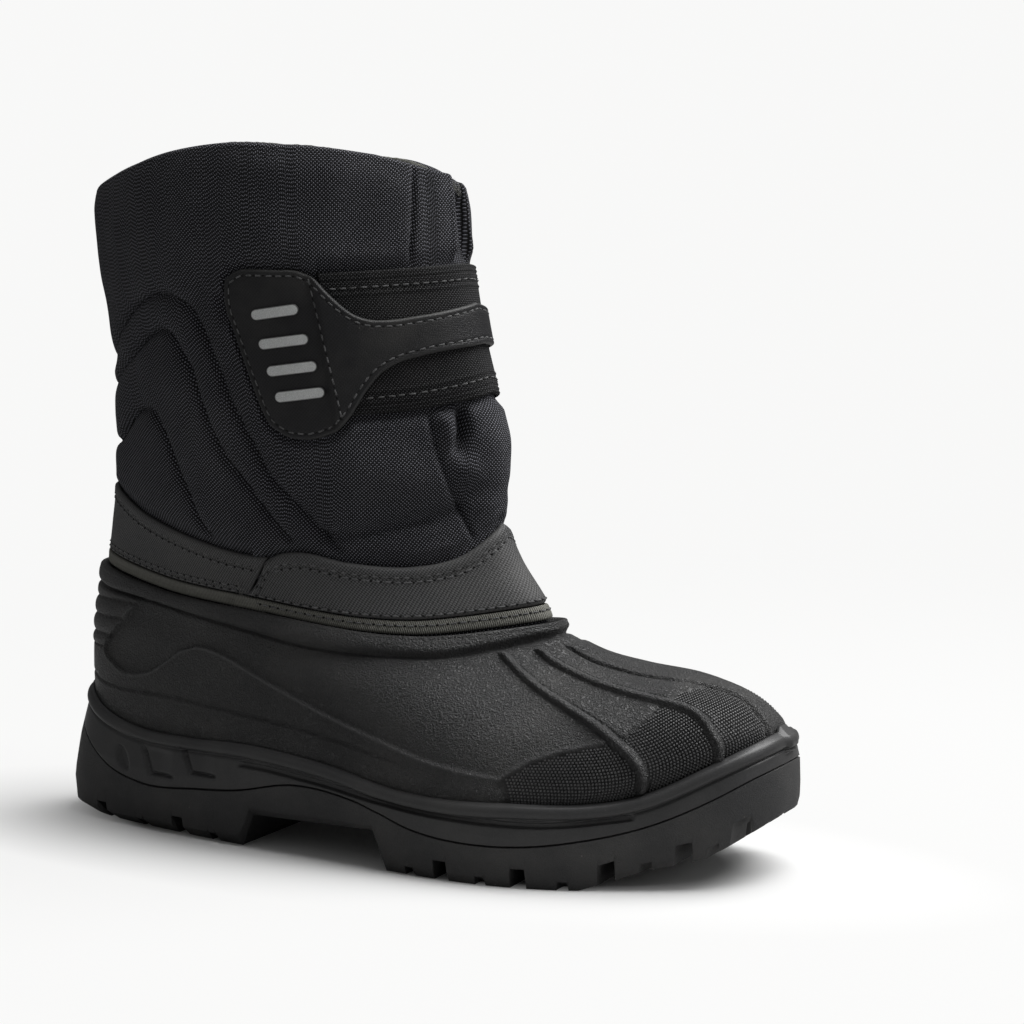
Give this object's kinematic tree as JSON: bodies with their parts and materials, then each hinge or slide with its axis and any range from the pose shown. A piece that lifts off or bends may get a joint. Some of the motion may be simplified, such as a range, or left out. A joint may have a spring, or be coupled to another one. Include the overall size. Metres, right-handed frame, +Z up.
{
  "type": "snow boot",
  "caption": "Right-foot pull-on winter boot: moulded shell foot, padded textile shaft with a front strap, lugged rubber sole.",
  "frame": {"origin": "on the floor, under the middle of the sole's length and width", "axes": "+X towards the toe, -Y towards the outer side of the right foot, +Z up"},
  "size_m": [0.3136, 0.1162, 0.2718],
  "materials": {
    "outsole_rubber": "matte, fine moulded grain",
    "midsole_rubber": "satin",
    "shell_rubber": "satin, fine leather grain",
    "shaft_fabric": "plain weave",
    "insole_felt": "felt",
    "binding_tape": "ribbed tape",
    "band_coated": "coated, fine grain",
    "webbing": "woven elastic",
    "overlay_coated": "coated, fine grain",
    "reflector_grey": "satin"
  },
  "bodies": {
    "root": {"outsole": "outsole_rubber", "midsole": "midsole_rubber", "upper_shell": "shell_rubber", "upper_shaft": "shaft_fabric", "insole": "insole_felt", "rim_binding": "binding_tape", "heel_band": "band_coated", "vamp_band": "band_coated", "strap_base": "webbing", "strap_overlay": "overlay_coated", "reflector_1": "reflector_grey", "reflector_2": "reflector_grey", "reflector_3": "reflector_grey", "reflector_4": "reflector_grey"}
  },
  "joints": []
}
